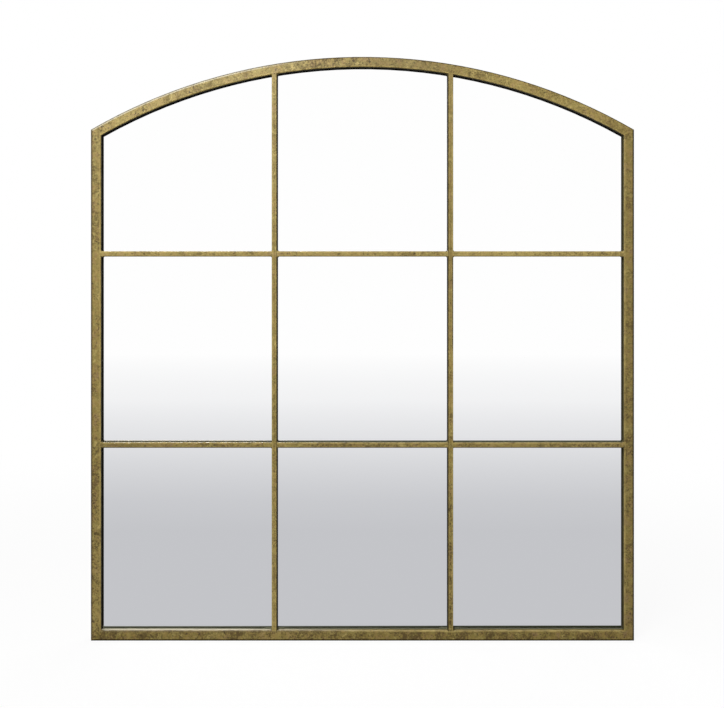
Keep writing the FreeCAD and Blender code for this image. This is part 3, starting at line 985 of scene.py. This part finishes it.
class GeometryGraph(NodeGraph):
    """Builds a tree of Geometry Nodes that sets one shape on many points."""

    def __init__(self, name: str, sizes: Sequence[str]) -> None:
        """Starts a tree.

        Args:
            name: Name of the tree.
            sizes: Names of its number inputs, besides the points, the seed and the material.
        """
        tree = bpy.data.node_groups.new(name, "GeometryNodeTree")
        super().__init__(tree)
        sockets = [("Points", "Geometry"), *((size, "Float") for size in sizes)]
        for socket, kind in (*sockets, ("Seed", "Int"), ("Material", "Material")):
            tree.interface.new_socket(socket, in_out="INPUT", socket_type=f"NodeSocket{kind}")
        tree.interface.new_socket("Pieces", in_out="OUTPUT", socket_type="NodeSocketGeometry")
        self.inputs = self.add("NodeGroupInput").outputs

    def share_of(self, size: str, share: float) -> Socket:
        """A share of one of the named sizes."""
        return self.times(self.inputs[size], share)

    def vector(self, x: Value = 0.0, y: Value = 0.0, z: Value = 0.0) -> Socket:
        """A vector from three values."""
        return self.add("ShaderNodeCombineXYZ", {0: x, 1: y, 2: z}).outputs[0]

    def moved(self, shape: Socket, shift: Value, turn: Sequence[float] = (0.0, 0.0, 0.0)) -> Socket:
        """A shape turned about each axis and then shifted."""
        feeds = {"Geometry": shape, "Translation": shift, "Rotation": turn}
        return self.add("GeometryNodeTransform", feeds).outputs[0]

    def joined(self, shapes: Iterable[Socket]) -> Socket:
        """Several shapes as one.

        Args:
            shapes: The shapes, in the order of their faces.

        Returns:
            The joined geometry.
        """
        node = self.add("GeometryNodeJoinGeometry")
        for shape in shapes:
            self.feed(node.inputs[0], shape)
        return node.outputs[0]

    def swept(self, path: Socket, profile: Socket, scale: Value = 1.0) -> Socket:
        """A profile swept along a path, with closed ends."""
        feeds = {"Curve": path, "Profile Curve": profile, "Scale": scale, "Fill Caps": True}
        return self.add("GeometryNodeCurveToMesh", feeds).outputs[0]

    def random(self, low: float, high: float) -> Socket:
        """A random number for each point, from the tree's seed."""
        feeds = {2: low, 3: high, "Seed": self.inputs["Seed"]}
        return self.add("FunctionNodeRandomValue", feeds, data_type="FLOAT").outputs[1]

    def smoothed(self, shape: Socket, sharpest: float) -> Socket:
        """A shape shaded smooth except over edges sharper than an angle.

        Args:
            shape: The geometry.
            sharpest: Angle past which an edge stays sharp.

        Returns:
            The shaded geometry.
        """
        faces = self.add("GeometryNodeSetShadeSmooth", {"Geometry": shape}, domain="FACE")
        angle = self.add("GeometryNodeInputMeshEdgeAngle").outputs[0]
        sharp = self.math("GREATER_THAN", angle, sharpest)
        feeds = {"Geometry": faces.outputs[0], "Selection": sharp, "Shade Smooth": False}
        return self.add("GeometryNodeSetShadeSmooth", feeds, domain="EDGE").outputs[0]

    def finish(self, shape: Socket, rotation: Value, scale: Value) -> bpy.types.NodeTree:
        """Sets the shape on the points and closes the tree.

        Args:
            shape: The geometry to repeat.
            rotation: Turn of each copy about the three axes.
            scale: Scale of each copy.

        Returns:
            The finished tree.
        """
        turn = self.add("FunctionNodeEulerToRotation", {0: rotation}).outputs[0]
        feeds = {"Points": self.inputs["Points"], "Instance": shape, "Rotation": turn, "Scale": scale}
        copies = self.add("GeometryNodeInstanceOnPoints", feeds).outputs[0]
        real = self.add("GeometryNodeRealizeInstances", {"Geometry": copies}).outputs[0]
        feeds = {"Geometry": real, "Material": self.inputs["Material"]}
        dressed = self.add("GeometryNodeSetMaterial", feeds).outputs[0]
        self.add("NodeGroupOutput", {0: dressed})
        return self.tree


def linked(name: str, data: bpy.types.ID) -> bpy.types.Object:
    """Adds an object to the scene.

    Args:
        name: Its name.
        data: Its mesh, light or camera.

    Returns:
        The object.
    """
    made = bpy.data.objects.new(name, data)
    bpy.context.scene.collection.objects.link(made)
    return made


def set_out(
    name: str,
    tree: bpy.types.NodeTree,
    points: Sequence[Vector],
    values: Mapping[str, object],
    turns: Sequence[float] | None = None,
) -> bpy.types.Object:
    """Runs a tree on points and keeps its result as a plain mesh.

    Args:
        name: Name of the piece.
        tree: Tree that sets a shape on each point.
        points: The points.
        values: The tree's inputs by name.
        turns: A turn for each point, read by the tree as the attribute turn.

    Returns:
        The piece, at the origin, with no modifier.
    """
    seeds = bpy.data.meshes.new(f"{name}_points")
    seeds.from_pydata([tuple(point) for point in points], [], [])
    if turns is not None:
        attribute = seeds.attributes.new("turn", "FLOAT", "POINT")
        attribute.data.foreach_set("value", list(turns))
    holder = linked(f"{name}_points", seeds)
    modifier = holder.modifiers.new(name, "NODES")
    modifier.node_group = tree
    for item in tree.interface.items_tree:
        if item.in_out == "INPUT" and item.name in values:
            modifier[item.identifier] = values[item.name]
    graph = bpy.context.evaluated_depsgraph_get()
    mesh = bpy.data.meshes.new_from_object(holder.evaluated_get(graph), depsgraph=graph)
    holder.modifiers.remove(modifier)
    bpy.data.objects.remove(holder)
    bpy.data.meshes.remove(seeds)
    mesh.name = name
    return linked(name, mesh)


def dress(names: Iterable[str], finish: Finish) -> None:
    """Gives CAD nodes a finish.

    Args:
        names: Names of the nodes.
        finish: Their finish.
    """
    for name in names:
        node = frame["nodes"][name]
        if not node.material_slots:
            node.data.materials.append(None)
        for slot in node.material_slots:
            slot.material = finish.material()
        LOG.info("dressed %s in %s", name, finish.name)


def settle(piece: bpy.types.Object, finish: Finish, *nodes: str) -> None:
    """Puts a new piece on the frame in place of CAD nodes.

    Args:
        piece: The piece.
        finish: Its finish; not used.
        nodes: The nodes that it stands for.
    """
    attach(piece, "frame")
    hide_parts(*nodes)
    LOG.info("made %s, %d faces", piece.name, len(piece.data.polygons))


@dataclass
class WindowFrame:
    """Tubes and glazing bars of the welded frame, each kind with its own run of the patina."""

    members: tuple[tuple[AntiqueGold, tuple[str, ...]], ...] = (
        (STILE_GOLD, ("left_stile", "right_stile")),
        (BOTTOM_RAIL_GOLD, ("bottom_rail",)),
        (ARCH_RAIL_GOLD, ("arch_rail",)),
        (MULLION_GOLD, ("left_mullion", "right_mullion")),
        (TRANSOM_GOLD, ("lower_transom_left", "lower_transom_centre", "lower_transom_right")),
        (TRANSOM_GOLD, ("upper_transom_left", "upper_transom_centre", "upper_transom_right")),
    )

    def build(self) -> None:
        """Dresses every tube and bar."""
        for finish, names in self.members:
            dress(names, finish)


@dataclass
class WeldBeads:
    """Rippled fillets of weld metal in the corners of the bars."""

    leg: float = 2.4 * MM
    embed: float = 0.5 * MM
    hollow: float = 0.34
    rings: int = 31
    ripples: float = 5.0
    ripple_height: float = 0.14
    trough: float = 0.86
    rounding: float = 6.0
    least_end: float = 0.35
    sizes: Pair = (0.82, 1.08)
    sharpest: float = 0.7
    seed: int = 7
    bar_edge: float = 1 * MM
    tube_corner: float = 1.6 * MM
    finish: AntiqueGold = WELD_GOLD

    def tree(self) -> bpy.types.NodeTree:
        """Tree that sets a bead on each corner, from its front end back along the bar.

        Returns:
            The tree.
        """
        graph = GeometryGraph("weld_beads", ("Leg", "Embed", "Depth", "Ripples", "Ripple Height"))
        leg = graph.inputs["Leg"]
        root = graph.share_of("Embed", -1.0)
        hollow = graph.share_of("Leg", self.hollow)
        corners = ((root, root), (leg, root), (hollow, hollow), (root, leg))
        points = {f"Point {number}": graph.vector(*corner) for number, corner in enumerate(corners, 1)}
        profile = graph.add("GeometryNodeCurvePrimitiveQuadrilateral", points, mode="POINTS")
        line = graph.add("GeometryNodeCurvePrimitiveLine", {"End": graph.vector(y=graph.inputs["Depth"])})
        path = graph.add("GeometryNodeResampleCurve", {"Curve": line.outputs[0], "Count": self.rings})
        share = graph.add("GeometryNodeSplineParameter").outputs["Factor"]
        phase = graph.times(share, graph.share_of("Ripples", math.pi))
        wave = graph.math("ABSOLUTE", graph.math("SINE", phase))
        swell = graph.plus(graph.times(wave, graph.inputs["Ripple Height"]), self.trough)
        end = graph.math("SQRT", graph.math("MINIMUM", graph.times(share, self.rounding), 1.0))
        width = graph.times(swell, graph.largest(end, self.least_end))
        bead = graph.smoothed(graph.swept(path.outputs[0], profile.outputs[0], width), self.sharpest)
        turn = graph.add("GeometryNodeInputNamedAttribute", {"Name": "turn"}, data_type="FLOAT")
        size = graph.random(*self.sizes)
        return graph.finish(bead, graph.vector(y=turn.outputs[0]), graph.vector(size, 1.0, size))

    def crossings(self) -> tuple[list[Vector], list[float]]:
        """The four corners of each crossing of a mullion and a transom.

        Returns:
            Each corner's front end, and the turn that points a bead into it.
        """
        points, turns = [], []
        front = PLAN.front + self.bar_edge
        for middle_x in (-PLAN.mullion_x, PLAN.mullion_x):
            for middle_z in PLAN.transoms:
                for side, level in ((1, -1), (-1, -1), (-1, 1), (1, 1)):
                    x, z = middle_x + side * PLAN.half_bar, middle_z + level * PLAN.half_bar
                    points.append(Vector((x, front, z)))
                    turns.append(self.turn_towards(side, level))
        return points, turns

    def bar_ends(self) -> tuple[list[Vector], list[float]]:
        """The two corners at each end of a bar.

        Returns:
            Each corner's front end, and the turn that points a bead into it.
        """
        points, turns = [], []
        front = PLAN.front + self.tube_corner
        for end in (-1, 1):
            for side in (-1, 1):
                for height in PLAN.transoms:
                    points.append(Vector((end * PLAN.inner_half_width, front, height + side * PLAN.half_bar)))
                    turns.append(self.turn_towards(-end, side))
                x = end * PLAN.mullion_x + side * PLAN.half_bar
                points.append(Vector((x, front, PLAN.inner_foot)))
                turns.append(self.turn_towards(side, 1))
                points.append(Vector((x, front, PLAN.arch_under(x))))
                lean = math.asin(x / PLAN.inner_arch_radius) / 2
                turns.append(self.turn_towards(side, -1) + lean)
        return points, turns

    @staticmethod
    def turn_towards(side: int, level: int) -> float:
        """Turn about Y that points a bead sideways and up or down into a corner."""
        return {(1, -1): 0.0, (-1, -1): math.pi / 2, (-1, 1): math.pi, (1, 1): -math.pi / 2}[side, level]

    def build(self) -> None:
        """Makes the beads of the crossings and of the bar ends."""
        tree = self.tree()
        values = {
            "Leg": self.leg,
            "Embed": self.embed,
            "Ripples": self.ripples,
            "Ripple Height": self.ripple_height,
            "Seed": self.seed,
            "Material": self.finish.material(),
        }
        back = PLAN.bar_back - self.bar_edge
        for name, (points, turns), node in (
            ("crossing_weld_beads", self.crossings(), "crossing_welds"),
            ("bar_end_weld_beads", self.bar_ends(), "bar_end_welds"),
        ):
            piece = set_out(name, tree, points, values | {"Depth": back - points[0].y}, turns)
            settle(piece, self.finish, node)


@dataclass
class Glazing:
    """The mirror sheet, its cushions and blocks, and the board behind it."""

    board_gap: float = 0.05 * MM
    board_arris: float = 0.3 * MM
    arris_steps: int = 2
    arch_steps: int = 96
    board_finish: FibreBoard = FibreBoard()
    block_finish: MouldedRubber = MouldedRubber(
        RubberPiece.SETTING_BLOCK, body=screen(142, 141, 114), film=screen(160, 158, 128)
    )

    def board(self) -> bpy.types.Object:
        """Cuts the backing board to a push fit, so that no light shows past it.

        Returns:
            The board, with its arrises taken off.
        """
        side = PLAN.inner_half_width - self.board_gap
        foot = PLAN.inner_foot + self.board_gap
        outline = [(-side, foot), (side, foot)]
        for step in range(self.arch_steps + 1):
            x = side * (1 - 2 * step / self.arch_steps)
            outline.append((x, PLAN.arch_under(x, self.board_gap)))
        low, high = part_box("backing_board")
        work = bmesh.new()
        sheet = work.faces.new([work.verts.new((x, low.y, z)) for x, z in outline])
        grown = bmesh.ops.extrude_face_region(work, geom=[sheet])["geom"]
        back = [item for item in grown if isinstance(item, bmesh.types.BMVert)]
        bmesh.ops.translate(work, vec=(0.0, high.y - low.y, 0.0), verts=back)
        rims = [edge for edge in work.edges if edge.verts[0].co.y == edge.verts[1].co.y]
        bmesh.ops.bevel(
            work, geom=rims, offset=self.board_arris, segments=self.arris_steps, profile=0.5, affect="EDGES"
        )
        bmesh.ops.recalc_face_normals(work, faces=work.faces)
        mesh = bpy.data.meshes.new("hardboard_back")
        work.to_mesh(mesh)
        work.free()
        mesh.materials.append(self.board_finish.material())
        return linked("hardboard_back", mesh)

    def build(self) -> None:
        """Makes the board, and dresses the glass and the soft pieces that seat it."""
        dress(("mirror_glass",), MirrorSheet())
        settle(self.board(), self.board_finish, "backing_board")
        dress(("mullion_cushions", "transom_cushions"), CellFoam())
        dress(("setting_blocks",), self.block_finish)


@dataclass
class Screws:
    """Cross-recessed pan head screws of the turn buttons and hangers."""

    head_radius: float = 3 * MM
    head_height: float = 1.8 * MM
    head_curve: tuple[Pair, ...] = (
        (1.0, 0.0), (1.0, 0.3), (0.95, 0.58), (0.82, 0.82), (0.6, 0.96), (0.42, 1.0)
    )
    head_facets: int = 32
    recess: float = 3.4 * MM
    recess_width: float = 0.24
    recess_height: float = 1.3
    shank_radius: float = 1.5 * MM
    shank_facets: int = 16
    core: float = 0.8
    ridge: float = 0.19
    ridge_facets: int = 4
    length: float = 9.5 * MM
    tip: float = 2 * MM
    tip_radius: float = 0.02 * MM
    pitch: float = 1.1 * MM
    sharpest: float = 0.6
    seed: int = 3
    button_seat: float = -4.6 * MM
    hanger_seat: float = -4.5 * MM
    hanger_margin: float = 7 * MM
    finish: ZincSteel = ZincSteel()

    def head(self, graph: GeometryGraph) -> Socket:
        """Domed head with a cross recess.

        Args:
            graph: The screw's tree.

        Returns:
            The head.
        """
        rings = []
        for radius, height in self.head_curve:
            feeds = {"Vertices": self.head_facets, "Radius": graph.share_of("Head Radius", radius)}
            ring = graph.add("GeometryNodeMeshCircle", feeds).outputs[0]
            rings.append(graph.moved(ring, graph.vector(z=graph.share_of("Head Height", height))))
        dome = graph.add("GeometryNodeConvexHull", {0: graph.joined(rings)}).outputs[0]
        head = graph.add("GeometryNodeMeshBoolean", {"Mesh 1": dome}, operation="DIFFERENCE", solver="EXACT")
        width = graph.share_of("Recess", self.recess_width)
        size = graph.vector(graph.inputs["Recess"], width, graph.share_of("Head Height", self.recess_height))
        top = graph.vector(z=graph.inputs["Head Height"])
        for turn in (0.0, math.pi / 2):
            wing = graph.add("GeometryNodeMeshCube", {"Size": size}).outputs[0]
            graph.feed(head.inputs["Mesh 2"], graph.moved(wing, top, (0.0, 0.0, turn)))
        return head.outputs[0]

    def shank(self, graph: GeometryGraph) -> tuple[Socket, Socket, Socket]:
        """Threaded shank under the head.

        Args:
            graph: The screw's tree.

        Returns:
            The rod, its pointed tip and its thread.
        """
        core = graph.share_of("Shank Radius", self.core)
        run = graph.minus(graph.inputs["Length"], graph.inputs["Tip"])
        below = graph.vector(z=graph.times(run, -1.0))
        feeds = {"Vertices": self.shank_facets, "Radius": core, "Depth": run}
        rod = graph.add("GeometryNodeMeshCylinder", feeds).outputs[0]
        feeds = {
            "Vertices": self.shank_facets,
            "Radius Top": self.tip_radius,
            "Radius Bottom": core,
            "Depth": graph.inputs["Tip"],
        }
        tip = graph.add("GeometryNodeMeshCone", feeds).outputs[0]
        feeds = {
            "Resolution": self.shank_facets,
            "Rotations": graph.math("DIVIDE", run, graph.inputs["Pitch"]),
            "Start Radius": core,
            "End Radius": core,
            "Height": run,
        }
        helix = graph.add("GeometryNodeCurveSpiral", feeds).outputs[0]
        feeds = {"Resolution": self.ridge_facets, "Radius": graph.share_of("Shank Radius", self.ridge)}
        ridge = graph.add("GeometryNodeCurvePrimitiveCircle", feeds).outputs[0]
        return (
            graph.moved(rod, graph.vector(z=graph.times(run, -0.5))),
            graph.moved(tip, below, (math.pi, 0.0, 0.0)),
            graph.moved(graph.swept(helix, ridge), below),
        )

    def tree(self) -> bpy.types.NodeTree:
        """Tree that sets a screw on each point, its head towards +Y.

        Returns:
            The tree.
        """
        names = ("Head Radius", "Head Height", "Recess", "Shank Radius", "Length", "Tip", "Pitch")
        graph = GeometryGraph("pan_head_screws", names)
        screw = graph.joined((self.head(graph), *self.shank(graph)))
        spin = graph.vector(-math.pi / 2, graph.random(0.0, math.pi))
        return graph.finish(graph.smoothed(screw, self.sharpest), spin, (1.0, 1.0, 1.0))

    def on_buttons(self) -> list[Vector]:
        """Seats on the turn buttons, whose hinge axes the screws stand on.

        Returns:
            The seats.
        """
        seats = []
        for joint in frame["joints"]:
            x, _, z = joint["pos_m"]
            seats.append(Vector((x, self.button_seat, z)))
        return seats

    def on_hangers(self) -> list[Vector]:
        """Seats on the two tails of each hanger strap.

        Returns:
            The seats.
        """
        seats = []
        for name in HANGERS:
            low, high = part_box(name)
            for height in (low.z + self.hanger_margin, high.z - self.hanger_margin):
                seats.append(Vector(((low.x + high.x) / 2, self.hanger_seat, height)))
        return seats

    def build(self) -> None:
        """Makes the two sets of screws."""
        tree = self.tree()
        values = {
            "Head Radius": self.head_radius,
            "Head Height": self.head_height,
            "Recess": self.recess,
            "Shank Radius": self.shank_radius,
            "Length": self.length,
            "Tip": self.tip,
            "Pitch": self.pitch,
            "Seed": self.seed,
            "Material": self.finish.material(),
        }
        for name, seats, node in (
            ("turn_button_screw_set", self.on_buttons(), "turn_button_screws"),
            ("hanger_screw_set", self.on_hangers(), "hanger_screws"),
        ):
            settle(set_out(name, tree, seats, values), self.finish, node)


@dataclass
class BackFittings:
    """Turn buttons, hanger straps and wall bumpers."""

    bumpers: tuple[str, ...] = ("left_bumper", "right_bumper")
    metal: ZincSteel = ZincSteel()
    rubber: MouldedRubber = MouldedRubber()

    def build(self) -> None:
        """Dresses the fittings on the back."""
        names = sorted(name for name in frame["nodes"] if name.startswith("turn_button_"))
        dress((name for name in names if "screws" not in name), self.metal)
        dress(HANGERS, self.metal)
        dress(self.bumpers, self.rubber)


@dataclass(frozen=True)
class SoftLamp:
    """A soft square lamp: its name, where it hangs, the length of its side and its power in watts."""

    name: str
    place: Triple
    size: float
    power: float

    def hang(self, aim: Vector) -> None:
        """Hangs the lamp.

        Args:
            aim: The point that it shines on.
        """
        light = bpy.data.lights.new(self.name, "AREA")
        light.size = self.size
        light.energy = self.power
        lamp = linked(self.name, light)
        lamp.location = self.place
        lamp.rotation_euler = (aim - Vector(self.place)).to_track_quat("-Z", "Y").to_euler()


@dataclass
class Studio:
    """Floor, light and camera."""

    distance: float = 2.2
    lens: float = 74.3
    sensor: float = 36.0
    camera_height: float = -0.1084
    aside: float = -0.7 * MM
    shift: float = -0.138
    sky: float = 0.3
    side_tones: tuple[Pair, ...] = ((0.05, 0.7), (0.3, 1.0), (0.61, 1.0), (0.8, 0.25))
    floor_reach: float = 14.0
    floor_grey: Colour = (0.5, 0.5, 0.5, 1.0)
    shadow: Step = Step(0.7, 2.2, 0.1, 0.0)
    near_grey: Colour = screen(195, 196, 200)
    mirrored_reach: float = 7.0
    mirrored_tones: tuple[Pair, ...] = (
        (0.0, 0.05), (0.012, 0.558), (0.125, 0.56), (0.178, 0.596), (0.305, 0.74), (0.515, 0.893), (0.9, 1.0)
    )
    aim: Triple = (0.0, 0.0, -0.25)
    lamps: tuple[SoftLamp, ...] = (
        SoftLamp("key_lamp", (-0.45, -1.75, 0.8), 0.7, 27.0),
        SoftLamp("top_lamp", (-0.6, -0.45, 1.9), 1.2, 8.0),
        SoftLamp("back_lamp", (0.9, 2.3, 1.3), 1.8, 32.0),
    )

    def floor(self) -> None:
        """Lays a pale floor under the foot of the mirror.

        The camera sees it white with the mirror's shadow on it.
        The glass sees it grey close by and white far off.
        """
        reach = self.floor_reach
        mesh = bpy.data.meshes.new("studio_floor")
        corners = [(-reach, -reach), (reach, -reach), (reach, reach), (-reach, reach)]
        mesh.from_pydata([(x, y, PLAN.foot) for x, y in corners], [], [(0, 1, 2, 3)])
        linked("studio_floor", mesh)
        material = bpy.data.materials.new("studio_floor")
        material.use_nodes = True
        mesh.materials.append(material)
        graph = ShaderGraph(material.node_tree)
        x, y, _ = graph.parts(graph.coordinates())
        camera, shiny = self.rays(graph)
        plain = graph.add("ShaderNodeBsdfDiffuse", {"Color": self.floor_grey}).outputs[0]
        lit = graph.add("ShaderNodeBsdfDiffuse", {"Color": WHITE}).outputs[0]
        white = graph.add("ShaderNodeEmission").outputs[0]
        seen = graph.blend(graph.ease(graph.length(x, y), self.shadow), white, lit)
        tones = graph.ramp(graph.math("DIVIDE", y, -self.mirrored_reach), self.greys(self.mirrored_tones))
        mirrored = graph.add("ShaderNodeEmission", {"Color": tones}).outputs[0]
        surface = graph.blend(shiny, graph.blend(camera, plain, seen), mirrored)
        graph.add("ShaderNodeOutputMaterial", {"Surface": surface})

    def greys(self, tones: Iterable[Pair]) -> Stops:
        """Stops of the greys that the glass sees, cool where they are dark.

        Args:
            tones: Each stop's value and its level.

        Returns:
            Each stop's value and its colour.
        """
        lowest = self.near_grey[1]
        stops = []
        for stop, level in tones:
            cool = max(0.0, min(1.0, (1.0 - level) / (1.0 - lowest)))
            red, green, blue = (level * (1 + cool * (part / lowest - 1)) for part in self.near_grey[:3])
            stops.append((stop, (red, green, blue, 1.0)))
        return tuple(stops)

    @staticmethod
    def rays(graph: ShaderGraph) -> tuple[Socket, Socket]:
        """Whether the camera looks, and whether metal or glass does."""
        rays = graph.add("ShaderNodeLightPath").outputs
        return rays["Is Camera Ray"], graph.largest(rays["Is Glossy Ray"], rays["Is Transmission Ray"])

    def world(self) -> None:
        """Gives the room even light, and a white background to the camera, metal and glass."""
        world = bpy.data.worlds.new("studio_room")
        bpy.context.scene.world = world
        world.use_nodes = True
        graph = ShaderGraph(world.node_tree)
        camera, shiny = self.rays(graph)
        room = graph.add("ShaderNodeBackground", {"Color": WHITE, "Strength": self.sky}).outputs[0]
        x, _, _ = graph.parts(graph.coordinates("Generated"))
        across = graph.times(graph.plus(x, 1.0), 0.5)
        sides = graph.ramp(across, self.greys(self.side_tones))
        shown = graph.add("ShaderNodeBackground", {"Color": graph.tint(shiny, WHITE, sides)}).outputs[0]
        surface = graph.blend(graph.largest(camera, shiny), room, shown)
        graph.add("ShaderNodeOutputWorld", {"Surface": surface})

    def camera(self) -> None:
        """Sets the camera level with the upper transom, straight in front."""
        data = bpy.data.cameras.new("photo_camera")
        data.lens = self.lens
        data.sensor_width = self.sensor
        data.shift_y = self.shift
        camera = linked("photo_camera", data)
        camera.location = (self.aside, PLAN.front - self.distance, self.camera_height)
        camera.rotation_euler = (math.pi / 2, 0.0, 0.0)
        bpy.context.scene.camera = camera

    def build(self) -> None:
        """Sets up the studio."""
        bpy.context.scene.view_settings.view_transform = "Standard"
        self.floor()
        self.world()
        for lamp in self.lamps:
            lamp.hang(Vector(self.aim))
        self.camera()


def main() -> None:
    """Builds the mirror's sub-assemblies in order, and the studio around it."""
    logging.basicConfig(level=logging.INFO, format="%(name)s: %(message)s")
    for part in (WindowFrame(), WeldBeads(), Glazing(), Screws(), BackFittings(), Studio()):
        LOG.info("building %s", type(part).__name__)
        part.build()


if __name__ == "__main__":
    main()
